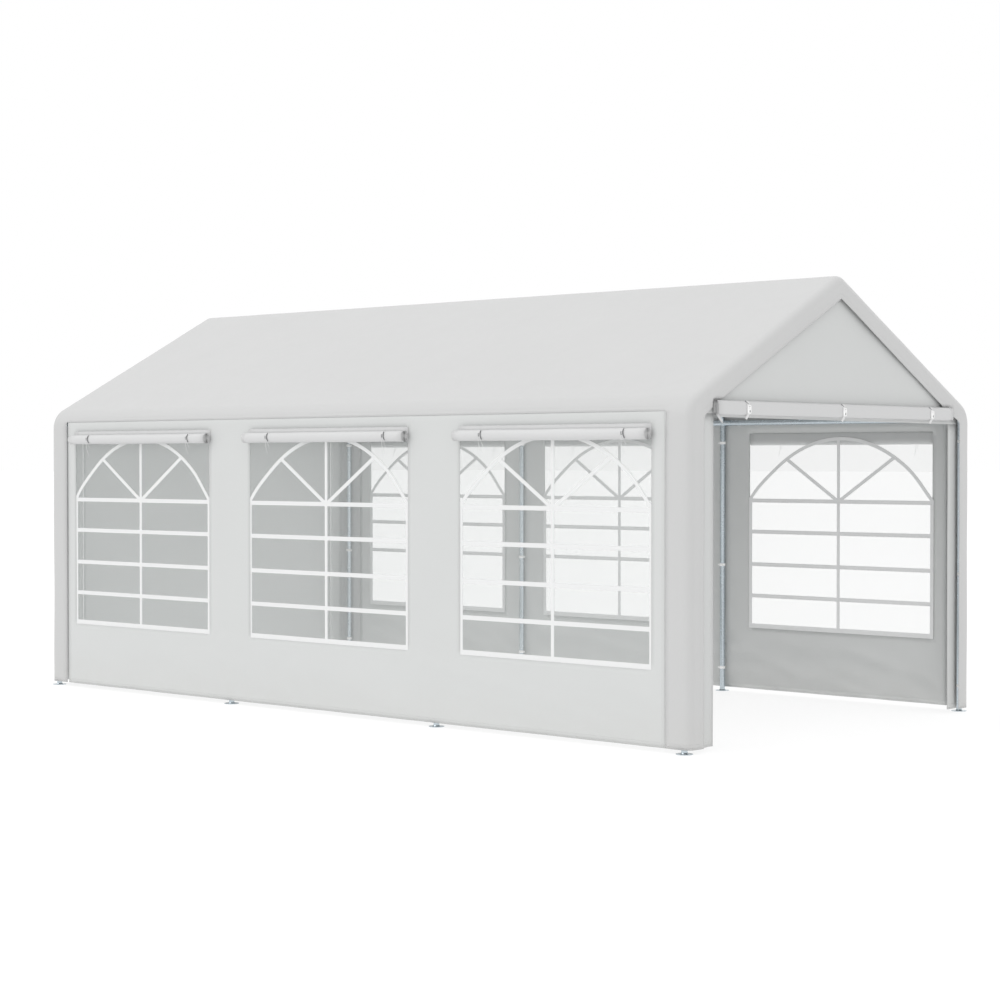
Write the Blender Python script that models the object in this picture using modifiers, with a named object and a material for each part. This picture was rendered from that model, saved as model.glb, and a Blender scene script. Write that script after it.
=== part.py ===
"""A gabled marquee tent, three bays long: a frame of steel tubes dressed in white sheeting.

The long sides run along X and the open gable looks to +X. The origin is the middle of the
footprint, on the ground. Every length is in metres.
"""

import math

import bmesh
import bpy
from mathutils import Matrix, Vector

# The frame of tubes
SPAN = 3.0                  # across the tent, from leg centre to leg centre
BAY = 1.97                  # along the tent, from leg centre to leg centre
BAYS = 3
EAVE_Z = 1.952              # centre of the eave rails
PITCH = math.radians(28.04)
TUBE_R = 0.019
SLEEVE_R = 0.0205           # the fitting's sleeve, which slips over the rail
FITTING_DROP = 0.09         # an eave fitting meets its leg this far below the rail
FITTING_STRAIGHT = 0.03     # straight end of an eave fitting's bent bar, before the rafter
BEND_STEPS = 6
SLEEVE_REACH = 0.08         # how far a sleeve runs to each side of its legs
SLEEVE_END = 0.0095         # and past the end legs, clear of the rounded end of the cover
FOOT_R = 0.05
FOOT_THICKNESS = 0.004
SIDES = 20

# The sheeting, made thicker than the real cloth so that it is a sound solid
CLOTH = 0.004
HEM_Z = 0.027               # the sheets end this far above the ground
SEAM_Z = 1.962              # where the roof cover's drop ends over the long walls
COVER_END_Z = 1.90          # and where its corners end and the corner sleeves begin
WALL_TOP_Z = 1.9635
COVER_TOP_Z = 2.8176        # the ridge, the highest line of the tent
BORDER = 0.136              # width of the roof cover's border on the gables
COVER_OUT = 0.033           # the cover's drop stands this far outside the legs
GABLE_OUT = 0.06            # the same on the gables
GABLE_ROUNDING = 0.05
EAVE_ROUNDING = 0.15        # the bent tubes give the eaves and the ridge a wide rounding
RIDGE_ROUNDING = 0.095
STRIP_END = 0.122           # the corner sleeve's strip on the long side ends this far in
WALL_REAR_ENDS = {"near": 0.149, "far": 0.11}   # how far short of the rear legs each wall stops
WALL_FRONT_END = 0.115

# The windows, three in each long side
WINDOW_WIDTH = 1.523
WINDOW_BOTTOM_Z = 0.470
WINDOW_TOP_Z = 1.875
FILM = 0.002
REAR_WINDOW_SHIFT = 0.02    # the rear window is sewn in a little off the middle of its bay
BLIND_R = 0.036
BLIND_LENGTH = 1.535
BLIND_ZS = {"near": 1.833, "far": 1.822}

# The gables
DOOR_NEAR_Y = -1.262
DOOR_FAR_Y = 1.306
DOOR_TOP_Z = 1.9245
FLAP_OUTER_Y = 1.43
PANEL_UNDER_COVER = 0.012   # the panel ends this far above the middle of the rafters
ROLL_DEPTH = 0.043          # the rolled door is pressed flat against the panel
ROLL_HEIGHT = 0.091
ROLL_NEAR_Y = -1.270
ROLL_FAR_Y = 1.300
ROLL_Z = 1.982
ROLL_STEPS = 12             # flat steps round each end of the roll's oval
STRAP = 0.003
STRAP_WIDTH = 0.028
STRAP_YS = (-0.986, 0.012, 1.03)
NOTCH_CLEARANCE = 0.004
NOTCH_START = 1.13          # the cover's border is notched for the roll from here outwards

GAP = 0.0003                # between pieces that touch

# Worked out from the sizes above
HALF_LENGTH = BAY * BAYS / 2
HALF_SPAN = SPAN / 2
STATIONS = [BAY * i - HALF_LENGTH for i in range(BAYS + 1)]
WINDOW_XS = [BAY * (i + 0.5) - HALF_LENGTH for i in range(BAYS)]
WINDOW_XS[0] += REAR_WINDOW_SHIFT
LEAN = math.pi / 2 - PITCH  # a rafter's angle from straight up
COVER_R = SLEEVE_R + GAP + CLOTH
RIDGE_Z = COVER_TOP_Z - COVER_R
COVER_PEAK_Z = COVER_TOP_Z + RIDGE_ROUNDING * (1 / math.cos(PITCH) - 1)   # where the slopes would meet
RAFTER_PEAK_Z = COVER_PEAK_Z - COVER_R / math.cos(PITCH)                  # and the rafters' centre lines
COVER_HALF_WIDTH = HALF_SPAN + COVER_OUT
COVER_HALF_LENGTH = HALF_LENGTH + GABLE_OUT
SHEET_IN = TUBE_R + GAP     # inner face of the walls and panels, measured from the leg centres
SHEET_OUT = SHEET_IN + CLOTH

# The bends of the eave fittings and of the rafters' upper ends, along their centre lines
EAVE_BEND = EAVE_ROUNDING - COVER_OUT
EAVE_BEND_Y = HALF_SPAN - EAVE_BEND
EAVE_BEND_Z = RAFTER_PEAK_Z - EAVE_BEND_Y * math.tan(PITCH) - EAVE_BEND / math.cos(PITCH)
EAVE_Y = EAVE_BEND_Y + math.sqrt(EAVE_BEND ** 2 - (EAVE_Z - EAVE_BEND_Z) ** 2)
RIDGE_BEND = RIDGE_ROUNDING - COVER_R
RAFTER_START = RIDGE_BEND * math.tan(PITCH)     # the straight part, down the slope from the peak
RAFTER_END = HALF_SPAN / math.cos(PITCH) - EAVE_BEND * math.tan(LEAN / 2) - FITTING_STRAIGHT
RAFTER_BEND = PITCH - 2 * math.asin((SLEEVE_R + 2 * GAP) / (2 * RIDGE_BEND))   # it ends at the ridge rail

SIDES_OF_TENT = (("near", -1), ("far", 1))
ENDS_OF_TENT = (("rear", -1), ("front", 1))


def clear_scene():
    """Remove whatever the scene starts with."""
    for item in list(bpy.data.objects):
        bpy.data.objects.remove(item, do_unlink=True)


def new_collection(name):
    """A collection under the scene's own."""
    made = bpy.data.collections.new(name)
    bpy.context.scene.collection.children.link(made)
    return made


def new_material(name, colour, roughness, metallic=0.0, alpha=1.0):
    """A Principled material with one plain finish."""
    made = bpy.data.materials.new(name)
    made.use_nodes = True
    shader = made.node_tree.nodes["Principled BSDF"]
    shader.inputs["Base Color"].default_value = (*colour, 1.0)
    shader.inputs["Roughness"].default_value = roughness
    shader.inputs["Metallic"].default_value = metallic
    shader.inputs["Alpha"].default_value = alpha
    made.diffuse_color = (*colour, alpha)
    return made


clear_scene()
tent = new_collection("marquee_tent")
cutters = new_collection("cutters")

STEEL = ((0.62, 0.66, 0.70), 0.38, 0.9)
SHEETING = ((0.86, 0.87, 0.86), 0.5)
CLEAR_FILM = ((0.85, 0.88, 0.88), 0.08, 0.0, 0.3)
ROLLED_CLOTH = ((0.88, 0.88, 0.88), 0.5)
WEBBING = ((0.92, 0.92, 0.92), 0.7)


def add_part(name, data, finish, location=(0, 0, 0), rotation=(0, 0, 0)):
    """Make a named part of the tent with a material of its own."""
    part = bpy.data.objects.new(name, data)
    part.location = location
    part.rotation_euler = rotation
    tent.objects.link(part)
    part.data.materials.clear()
    part.data.materials.append(new_material(name, *finish))
    return part


def add_tool(name, mesh, location=(0, 0, 0), rotation=(0, 0, 0)):
    """Make a shape that is cut out of a part or fused to it, and isn't a part itself."""
    tool = bpy.data.objects.new(name, mesh)
    tool.location = location
    tool.rotation_euler = rotation
    tool.hide_render = True
    tool.display_type = "WIRE"
    cutters.objects.link(tool)
    return tool


def box_mesh(name, low, high):
    """A box from its lowest to its highest corner."""
    low, high = Vector(low), Vector(high)
    bm = bmesh.new()
    bmesh.ops.create_cube(bm, size=1.0)
    bmesh.ops.scale(bm, vec=high - low, verts=bm.verts)
    bmesh.ops.translate(bm, vec=(low + high) / 2, verts=bm.verts)
    mesh = bpy.data.meshes.new(name)
    bm.to_mesh(mesh)
    bm.free()
    return mesh


def rod_mesh(name, length, radius, along="Z"):
    """A round bar with its middle at the origin."""
    turn = Matrix.Rotation(math.radians(90), 4, {"X": "Y", "Y": "X"}[along]) if along != "Z" else Matrix()
    bm = bmesh.new()
    bmesh.ops.create_cone(bm, cap_ends=True, segments=SIDES, radius1=radius, radius2=radius,
                          depth=length, matrix=turn)
    return finished_mesh(name, bm)


def bent_bar_mesh(name, start, bend_radius, bend, end=0.0):
    """A round bar that starts at the origin, runs up and bends towards -Y.

    It runs on straight for the length end, where there is one.
    """
    bm = bmesh.new()
    bmesh.ops.create_circle(bm, cap_ends=True, segments=SIDES, radius=TUBE_R)
    bm.faces.ensure_lookup_table()
    base = tip = bm.faces[0]
    turn = Matrix.Rotation(bend / BEND_STEPS, 3, "X")
    moves = [Vector((0, 0, start))] + [None] * BEND_STEPS
    if end:
        moves.append(Vector((0, -math.sin(bend), math.cos(bend))) * end)
    for move in moves:
        grown = bmesh.ops.extrude_face_region(bm, geom=[tip])["geom"]
        moved = [item for item in grown if isinstance(item, bmesh.types.BMVert)]
        if tip is not base:
            bm.faces.remove(tip)
        tip = next(item for item in grown if isinstance(item, bmesh.types.BMFace))
        if move is None:
            bmesh.ops.rotate(bm, cent=(0, -bend_radius, start), matrix=turn, verts=moved)
        else:
            bmesh.ops.translate(bm, vec=move, verts=moved)
    bmesh.ops.recalc_face_normals(bm, faces=bm.faces)
    return finished_mesh(name, bm)


def finished_mesh(name, bm):
    """Turn a bmesh into a mesh that is shaded smooth, with its sharp edges kept."""
    mesh = bpy.data.meshes.new(name)
    bm.to_mesh(mesh)
    bm.free()
    mesh.shade_smooth()
    mesh.set_sharp_from_angle(angle=math.radians(40))
    return mesh


def boolean(part, tool, operation):
    """Cut a part with a tool, or fuse the tool to it."""
    step = part.modifiers.new(tool.name, "BOOLEAN")
    step.operation = operation
    step.solver = "EXACT"
    step.object = tool


def turned(part, steps):
    """Turn a profile in the XZ plane once round Z."""
    step = part.modifiers.new("turn", "SCREW")
    step.steps = steps
    step.render_steps = steps
    step.use_merge_vertices = True
    step.merge_threshold = 0.0001
    step.use_smooth_shade = True


def profile_mesh(name, points, closed):
    """A chain of edges in the XZ plane from (x, z) points."""
    count = len(points)
    edges = [(i, i + 1) for i in range(count - 1)]
    if closed:
        edges.append((count - 1, 0))
    mesh = bpy.data.meshes.new(name)
    mesh.from_pydata([(x, 0.0, z) for x, z in points], edges, [])
    return mesh


def arc(centre, radius, start, end, steps):
    """Points on a circle from one angle to another, both ends included."""
    angles = [start + (end - start) * i / steps for i in range(steps + 1)]
    return [(centre[0] + radius * math.cos(a), centre[1] + radius * math.sin(a)) for a in angles]


# Legs: a turned foot plate and tube, from the ground up into the eave fitting
def make_legs():
    """Four legs on each long side, all from one profile."""
    top = EAVE_Z - FITTING_DROP - GAP
    profile = [(0, top), (TUBE_R, top), (TUBE_R, FOOT_THICKNESS), (FOOT_R, FOOT_THICKNESS),
               (FOOT_R, 0), (0, 0)]
    for side, sign in SIDES_OF_TENT:
        for number, x in enumerate(STATIONS, start=1):
            name = f"leg_{side}_{number}"
            leg = add_part(name, profile_mesh(name, profile, False), STEEL, (x, sign * HALF_SPAN, 0))
            turned(leg, SIDES)


# Rafters: tubes from the eave fittings up to the ridge rail, bent where they near it
def make_rafters():
    """A pair of rafters over each pair of legs."""
    bottom = RAFTER_END - GAP
    out, height = bottom * math.cos(PITCH), RAFTER_PEAK_Z - bottom * math.sin(PITCH)
    for side, sign in SIDES_OF_TENT:
        turn = math.pi if sign < 0 else 0
        for number, x in enumerate(STATIONS, start=1):
            name = f"rafter_{side}_{number}"
            tube = bent_bar_mesh(name, bottom - RAFTER_START, RIDGE_BEND, RAFTER_BEND)
            add_part(name, tube, STEEL, (x, sign * out, height), (LEAN, 0, turn))


# Rails along the tent
def make_rail(name, y, z):
    """A rail with a fitting's sleeve over it at each station."""
    rail = add_part(name, rod_mesh(name, 2 * HALF_LENGTH - 0.02, TUBE_R, "X"), STEEL, (0, y, z))
    for number, x in enumerate(STATIONS, start=1):
        low = -SLEEVE_END if number == 1 else -SLEEVE_REACH
        high = SLEEVE_END if number == len(STATIONS) else SLEEVE_REACH
        label = f"{name}_sleeve_{number}"
        sleeve = rod_mesh(label, high - low, SLEEVE_R, "X")
        boolean(rail, add_tool(label, sleeve, (x + (low + high) / 2, y, z)), "UNION")
    return rail


def make_rails():
    """Two eave rails, with the bent bars of their fittings, and the ridge rail."""
    foot_z = EAVE_Z - FITTING_DROP
    for side, sign in SIDES_OF_TENT:
        name = f"eave_rail_{side}"
        rail = make_rail(name, sign * EAVE_Y, EAVE_Z)
        turn = math.pi if sign < 0 else 0
        for number, x in enumerate(STATIONS, start=1):
            label = f"{name}_bend_{number}"
            bar = bent_bar_mesh(label, EAVE_BEND_Z - foot_z, EAVE_BEND, LEAN, FITTING_STRAIGHT)
            boolean(rail, add_tool(label, bar, (x, sign * HALF_SPAN, foot_z), (0, 0, turn)), "UNION")
    make_rail("ridge_rail", 0, RIDGE_Z)


# Roof cover: one sheet over the frame, with a border turned down over each gable
def border_profile(depth):
    """The sheet's face at this depth, over the front gable, as (inset from the outline, x).

    It runs from the border's free edge, across the gable and round onto the roof.
    """
    radius = GABLE_ROUNDING - depth
    centre_x = COVER_HALF_LENGTH - GABLE_ROUNDING
    bend = arc((-GABLE_ROUNDING, centre_x), radius, math.pi / 2, 0, 6)
    return [(BORDER, COVER_HALF_LENGTH - depth)] + [(-inset, x) for inset, x in bend]


def cover_outline(inset):
    """The cover's cross-section as (y, z), drawn a little inside the outer one.

    A drop, a rounded eave, a slope, the rounded ridge, and the same again. A rounding whose
    radius is used up by the inset becomes a plain corner.
    """
    half = COVER_HALF_WIDTH - inset
    peak = COVER_PEAK_Z - inset / math.cos(PITCH)
    eave = peak - half * math.tan(PITCH)
    eave_r = max(EAVE_ROUNDING - inset, 0.0)
    ridge_r = max(RIDGE_ROUNDING - inset, 0.0)
    back = eave_r * math.tan(LEAN / 2)
    right = arc((half - eave_r, eave - back), eave_r, 0, LEAN, 8)
    top = arc((0, peak - ridge_r / math.cos(PITCH)), ridge_r, LEAN, math.pi - LEAN, 6)
    left = [(-y, z) for y, z in reversed(right)]
    return [(half, COVER_END_Z)] + right + top + left + [(-half, COVER_END_Z)]


def make_roof_cover():
    """Sweep the cross-section along the tent and back inside it, turned in over both gables."""
    outer, inner = border_profile(0), border_profile(CLOTH)
    loop = outer + [(inset, -x) for inset, x in reversed(outer)]
    loop += [(inset, -x) for inset, x in inner] + list(reversed(inner))
    bm = bmesh.new()
    rows = [[bm.verts.new((x, y, z)) for y, z in cover_outline(inset)] for inset, x in loop]
    for row, following in zip(rows, rows[1:] + rows[:1]):
        for i in range(len(row) - 1):
            bm.faces.new((row[i], row[i + 1], following[i + 1], following[i]))
    bm.faces.new([row[0] for row in rows])
    bm.faces.new([row[-1] for row in reversed(rows)])
    bmesh.ops.remove_doubles(bm, verts=bm.verts, dist=1e-6)
    bmesh.ops.recalc_face_normals(bm, faces=bm.faces)
    cover = add_part("roof_cover", finished_mesh("roof_cover", bm), SHEETING)
    strip = HALF_LENGTH - STRIP_END
    for side, sign in SIDES_OF_TENT:
        label = f"drop_cut_{side}"
        ys = sorted((sign * HALF_SPAN, sign * (COVER_HALF_WIDTH + CLOTH)))
        cut = box_mesh(label, (-strip, ys[0], COVER_END_Z - CLOTH), (strip, ys[1], SEAM_Z))
        boolean(cover, add_tool(label, cut), "DIFFERENCE")
    low_z = ROLL_Z - ROLL_HEIGHT / 2 - NOTCH_CLEARANCE
    high_z = ROLL_Z + ROLL_HEIGHT / 2 + NOTCH_CLEARANCE
    for side, inner_y, outer_y in (("near", -NOTCH_START, ROLL_NEAR_Y - NOTCH_CLEARANCE),
                                   ("far", NOTCH_START, ROLL_FAR_Y + NOTCH_CLEARANCE)):
        label = f"roll_notch_{side}"
        low = (HALF_LENGTH + SHEET_OUT, min(inner_y, outer_y), low_z)
        high = (COVER_HALF_LENGTH + NOTCH_CLEARANCE, max(inner_y, outer_y), high_z)
        boolean(cover, add_tool(label, box_mesh(label, low, high)), "DIFFERENCE")


# Corner sleeves: the cover's border carried on down round each corner leg
def make_corner_sleeves():
    """Four sleeves, each a bent strip standing on its hem."""
    strip = HALF_LENGTH - STRIP_END
    plan = border_profile(0) + [(0, strip), (CLOTH, strip)] + list(reversed(border_profile(CLOTH)))
    for side, sign_y in SIDES_OF_TENT:
        for end, sign_x in ENDS_OF_TENT:
            name = f"corner_sleeve_{side}_{end}"
            bm = bmesh.new()
            points = [(sign_x * x, sign_y * (COVER_HALF_WIDTH - inset), HEM_Z) for inset, x in plan]
            base = bm.faces.new([bm.verts.new(point) for point in points])
            grown = bmesh.ops.extrude_face_region(bm, geom=[base])["geom"]
            raised = [item for item in grown if isinstance(item, bmesh.types.BMVert)]
            bmesh.ops.translate(bm, vec=(0, 0, COVER_END_Z - GAP - HEM_Z), verts=raised)
            bmesh.ops.recalc_face_normals(bm, faces=bm.faces)
            add_part(name, finished_mesh(name, bm), SHEETING)


# Long walls, each cut for its three windows
def make_side_walls():
    """A wall, its window films and its rolled blinds on each long side."""
    for side, sign in SIDES_OF_TENT:
        inner, outer = sign * (HALF_SPAN + SHEET_IN), sign * (HALF_SPAN + SHEET_OUT)
        low = (WALL_REAR_ENDS[side] - HALF_LENGTH, min(inner, outer), HEM_Z)
        high = (HALF_LENGTH - WALL_FRONT_END, max(inner, outer), WALL_TOP_Z)
        name = f"side_wall_{side}"
        wall = add_part(name, box_mesh(name, low, high), SHEETING)
        for number, x in enumerate(WINDOW_XS, start=1):
            cut = WINDOW_WIDTH / 2
            label = f"window_cut_{side}_{number}"
            hole = box_mesh(label, (x - cut, min(inner, outer) - 0.01, WINDOW_BOTTOM_Z),
                            (x + cut, max(inner, outer) + 0.01, WINDOW_TOP_Z))
            boolean(wall, add_tool(label, hole), "DIFFERENCE")
            fit = cut - GAP
            middle = (inner + outer) / 2
            label = f"window_film_{side}_{number}"
            film = box_mesh(label, (x - fit, middle - FILM / 2, WINDOW_BOTTOM_Z + GAP),
                            (x + fit, middle + FILM / 2, WINDOW_TOP_Z - GAP))
            add_part(label, film, CLEAR_FILM)
            label = f"window_blind_{side}_{number}"
            roll = rod_mesh(label, BLIND_LENGTH, BLIND_R, "X")
            add_part(label, roll, ROLLED_CLOTH, (x, outer + sign * (BLIND_R + GAP), BLIND_ZS[side]))


def panel_top(y):
    """Height of a gable panel's sloping edge."""
    return RAFTER_PEAK_Z + PANEL_UNDER_COVER / math.cos(PITCH) - abs(y) * math.tan(PITCH)


def flat_shape(name, outlines, thickness, finish, location, rotation):
    """A filled flat curve with this thickness. A second outline inside the first is a hole."""
    curve = bpy.data.curves.new(name, "CURVE")
    curve.dimensions = "2D"
    curve.fill_mode = "BOTH"
    curve.extrude = thickness / 2
    for outline in outlines:
        line = curve.splines.new("POLY")
        line.points.add(len(outline) - 1)
        for point, (across, up) in zip(line.points, outline):
            point.co = (across, up, 0, 1)
        line.use_cyclic_u = True
    return add_part(name, curve, finish, location, rotation)


# Gable panels: a triangle with a strip down each side of the doorway
def make_gables():
    """The front and rear panels and the closed rear door."""
    corner = (FLAP_OUTER_Y, panel_top(FLAP_OUTER_Y))
    ridge_r = RIDGE_BEND + PANEL_UNDER_COVER
    ridge_centre = (0, panel_top(0) - ridge_r / math.cos(PITCH))
    outline = [(DOOR_NEAR_Y, HEM_Z), (DOOR_NEAR_Y, DOOR_TOP_Z), (DOOR_FAR_Y, DOOR_TOP_Z),
               (DOOR_FAR_Y, HEM_Z), (FLAP_OUTER_Y, HEM_Z), corner]
    outline += arc(ridge_centre, ridge_r, LEAN, math.pi - LEAN, 6)
    outline += [(-corner[0], corner[1]), (-FLAP_OUTER_Y, HEM_Z)]
    middle = HALF_LENGTH + (SHEET_IN + SHEET_OUT) / 2
    for name, x in (("end_panel_front", middle), ("end_panel_rear", -middle)):
        flat_shape(name, [outline], CLOTH, SHEETING, (x, 0, 0), (math.pi / 2, 0, math.pi / 2))
    low = (-HALF_LENGTH - SHEET_OUT, DOOR_NEAR_Y + GAP, HEM_Z)
    high = (-HALF_LENGTH - SHEET_IN, DOOR_FAR_Y - GAP, DOOR_TOP_Z - GAP)
    add_part("rear_door", box_mesh("rear_door", low, high), SHEETING)


def roll_outline(outwards):
    """The rolled door's oval as (x, z) points about its centre, drawn this far outside it."""
    radius = ROLL_DEPTH / 2 + outwards
    rise = (ROLL_HEIGHT - ROLL_DEPTH) / 2
    upper = arc((0, rise), radius, 0, math.pi, ROLL_STEPS)
    return upper + arc((0, -rise), radius, math.pi, 2 * math.pi, ROLL_STEPS)


# Rolled front door: an oval bar along the top of the doorway, in three straps
def make_door_roll():
    """The rolled front door and its straps."""
    roll_x = HALF_LENGTH + SHEET_OUT + 2 * GAP + STRAP + ROLL_DEPTH / 2
    roll_y = (ROLL_NEAR_Y + ROLL_FAR_Y) / 2
    stood = (math.pi / 2, 0, 0)
    flat_shape("door_roll", [roll_outline(0)], ROLL_FAR_Y - ROLL_NEAR_Y, ROLLED_CLOTH,
               (roll_x, roll_y, ROLL_Z), stood)
    ring = [roll_outline(GAP + STRAP), roll_outline(GAP)]
    for number, y in enumerate(STRAP_YS, start=1):
        flat_shape(f"door_strap_{number}", ring, STRAP_WIDTH, WEBBING, (roll_x, y, ROLL_Z), stood)


make_legs()
make_rafters()
make_rails()
make_roof_cover()
make_corner_sleeves()
make_side_walls()
make_gables()
make_door_roll()
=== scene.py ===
# %% [markdown]
# # A party marquee, dressed in cloth
# This lesson takes a measured model of a three-bay party tent and gives it its looks. The model
# has the true sizes: steel legs, rails and rafters, and a plain solid for each piece of cloth.
# Steel has the right shape already and only needs a finish. Cloth is thin, soft and sewn, so
# every sheet is made again here as a curved surface that lies where the plain solid lay.

# %% Load the measured model
import math

import bmesh
import bpy
import numpy as np
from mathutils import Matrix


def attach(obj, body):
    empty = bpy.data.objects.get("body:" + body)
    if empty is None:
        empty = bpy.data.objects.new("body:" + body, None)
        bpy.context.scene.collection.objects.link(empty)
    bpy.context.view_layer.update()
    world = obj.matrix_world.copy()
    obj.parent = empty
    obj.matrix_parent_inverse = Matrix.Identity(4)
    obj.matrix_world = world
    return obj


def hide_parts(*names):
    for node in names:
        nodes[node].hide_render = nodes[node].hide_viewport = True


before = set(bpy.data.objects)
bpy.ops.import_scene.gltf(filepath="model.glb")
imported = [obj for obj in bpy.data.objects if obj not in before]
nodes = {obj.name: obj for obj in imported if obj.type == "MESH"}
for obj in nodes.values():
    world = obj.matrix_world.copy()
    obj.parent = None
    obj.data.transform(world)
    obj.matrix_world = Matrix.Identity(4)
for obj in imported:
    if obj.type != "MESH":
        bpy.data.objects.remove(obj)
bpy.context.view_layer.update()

# %% [markdown]
# ## The camera
# The photographer stood off the near corner of the open gable, at eye height, with a long
# lens, so the long side runs away to the left and the upright edges stay upright. Place, turn
# and lens were worked out from the feet, windows and seams, whose real places are known.

# %% Camera
camera = bpy.data.objects.new("camera", bpy.data.cameras.new("camera"))
camera.location = (10.692, -11.509, 1.672)
camera.rotation_euler = (math.radians(90 - 0.996), 0, math.radians(42.476))
camera.data.sensor_width = 36.0
camera.data.lens = 79.69
camera.data.clip_end = 1500
bpy.context.scene.collection.objects.link(camera)
bpy.context.scene.camera = camera
print("camera at", tuple(round(v, 3) for v in camera.location), "with a lens of 79.7 mm")

# %% [markdown]
# ## Material helpers
# A finish is a small network of nodes round one Principled shader. Two helpers keep that
# short: one starts a material, the other adds a node and sets or links its sockets at once.
# The rest are small networks that several finishes share, such as a fine grain.

# %% Material helpers
def start_finish(name, colour, roughness, **sockets):
    """A new material with these values on its shader's own sockets."""
    made = bpy.data.materials.new(name)
    made.use_nodes = True
    shader = made.node_tree.nodes["Principled BSDF"]
    shader.inputs["Base Color"].default_value = (*colour, 1)
    shader.inputs["Roughness"].default_value = roughness
    for socket, value in sockets.items():
        shader.inputs[socket.replace("_", " ")].default_value = value
    return made, made.node_tree, shader


def add_node(tree, kind, inputs=None, **settings):
    """A new node. inputs holds a number, a colour or another node's output for each socket."""
    made = tree.nodes.new("ShaderNode" + kind)
    for setting, value in settings.items():
        setattr(made, setting, value)
    for socket, value in (inputs or {}).items():
        if isinstance(value, bpy.types.NodeSocket):
            tree.links.new(value, made.inputs[socket])
        else:
            made.inputs[socket].default_value = value
    return made


def math_node(tree, operation, first, second=0.0, third=0.0):
    """The output of one sum on numbers or outputs."""
    return add_node(tree, "Math", {0: first, 1: second, 2: third}, operation=operation).outputs[0]


def blended(tree, share, first, second):
    """The colour that goes from first to second as share goes from 0 to 1."""
    mix = add_node(tree, "Mix", {0: share, 6: (*first, 1), 7: (*second, 1)}, data_type="RGBA")
    return mix.outputs[2]


def bumped(tree, heights):
    """One normal from several (height, distance, strength), each laid over the one before."""
    normal = None
    for height, distance, strength in heights:
        inputs = {"Height": height, "Distance": distance, "Strength": strength}
        if normal is not None:
            inputs["Normal"] = normal
        normal = add_node(tree, "Bump", inputs).outputs["Normal"]
    return normal


def place_on(tree):
    """Where a point of the piece is, in metres."""
    return add_node(tree, "TexCoord").outputs["Object"]


def noise(tree, place, scale, detail, **more):
    """The output of a noise, with scale in spots per metre."""
    return add_node(tree, "TexNoise", {"Vector": place, "Scale": scale, "Detail": detail, **more}).outputs["Fac"]


def grained(name, colour, roughness, scale, detail, tones, bump, **more):
    """A finish with a fine grain that goes between two tones and gives a bump (distance, strength)."""
    finish, tree, shader = start_finish(name, colour, roughness, **more)
    grain = noise(tree, place_on(tree), scale, detail)
    tree.links.new(blended(tree, grain, *tones), shader.inputs["Base Color"])
    tree.links.new(bumped(tree, [(grain, *bump)]), shader.inputs["Normal"])
    return finish

# %% [markdown]
# ## Room and light
# The tent stands in a white studio. A bright even sky lights it from all round, the floor is a
# pale sheet that glows a little, as the paper of a light table does, so that no heavy shadow
# forms. A large soft lamp from the left lifts the long side over the gable, and another from
# straight above lifts the roof.

# %% Floor, sky and lamps
studio = bpy.context.scene
studio.view_settings.view_transform = "Standard"
studio.view_settings.look = "None"

floor_mesh = bpy.data.meshes.new("floor")
floor_mesh.from_pydata([(-300, -300, 0), (300, -300, 0), (300, 300, 0), (-300, 300, 0)], [],
                       [(0, 1, 2, 3)])
floor = bpy.data.objects.new("floor", floor_mesh)
studio.collection.objects.link(floor)
paper, tree, shader = start_finish("floor_paper", (0.2, 0.2, 0.2), 0.9, Emission_Strength=0.83)
shader.inputs["Emission Color"].default_value = (1, 1, 1, 1)
shader.inputs["Specular IOR Level"].default_value = 0.0
floor_mesh.materials.append(paper)

sky = bpy.data.worlds.new("sky")
sky.use_nodes = True
sky.node_tree.nodes["Background"].inputs["Color"].default_value = (1, 1, 1, 1)
sky.node_tree.nodes["Background"].inputs["Strength"].default_value = 1.0
studio.world = sky

for name, energy, spread, turn in (("side_lamp", 0.38, 40, (52, 0, -30)), ("top_lamp", 0.38, 80, (0, 0, 0))):
    lamp = bpy.data.objects.new(name, bpy.data.lights.new(name, "SUN"))
    lamp.data.energy = energy
    lamp.data.angle = math.radians(spread)
    lamp.rotation_euler = [math.radians(angle) for angle in turn]
    studio.collection.objects.link(lamp)
print("studio: sky strength 1.0 and two soft lamps")

# %% [markdown]
# ## Surfaces from numbers
# Every new piece is a surface that is worked out with numpy: a grid of points, where each
# point's place is a function of two numbers. The helper below turns such a grid into faces.
# A cell between four neighbouring points becomes one face, and a mask can leave cells out,
# which is how a window is cut. Two numbers can go with each point: its place on the flat
# cloth, for the weave, and its distance from the nearest hem, for the stitching.

# %% Grids into meshes
def patch(points, around=False, keep=None, turn=False, flat=None, edge=None, ends=False):
    """Faces over a grid of points (rows, columns, 3).

    Cell (i, j) joins points (i, j), (i+1, j), (i+1, j+1) and (i, j+1), so that it faces along
    (row direction) x (column direction), or the other way with turn. around joins the last
    column to the first, and ends closes a tube with a flat face at each end.
    """
    rows, columns = points.shape[:2]
    i, j = np.meshgrid(np.arange(rows - 1), np.arange(columns if around else columns - 1),
                       indexing="ij")
    k = (j + 1) % columns
    faces = np.stack([i * columns + j, (i + 1) * columns + j, (i + 1) * columns + k,
                      i * columns + k], axis=-1)
    faces = (faces if keep is None else faces[keep]).reshape(-1, 4)
    if turn:
        faces = faces[:, ::-1]
    closing = []
    if ends:
        first, last = np.arange(columns), (rows - 1) * columns + np.arange(columns)
        closing = [first[::-1].tolist(), last.tolist()] if turn else [first.tolist(), last[::-1].tolist()]
    return {"points": points.reshape(-1, 3), "faces": faces, "closing": closing,
            "flat": None if flat is None else flat.reshape(-1, 2),
            "edge": None if edge is None else edge.reshape(-1)}


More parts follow.
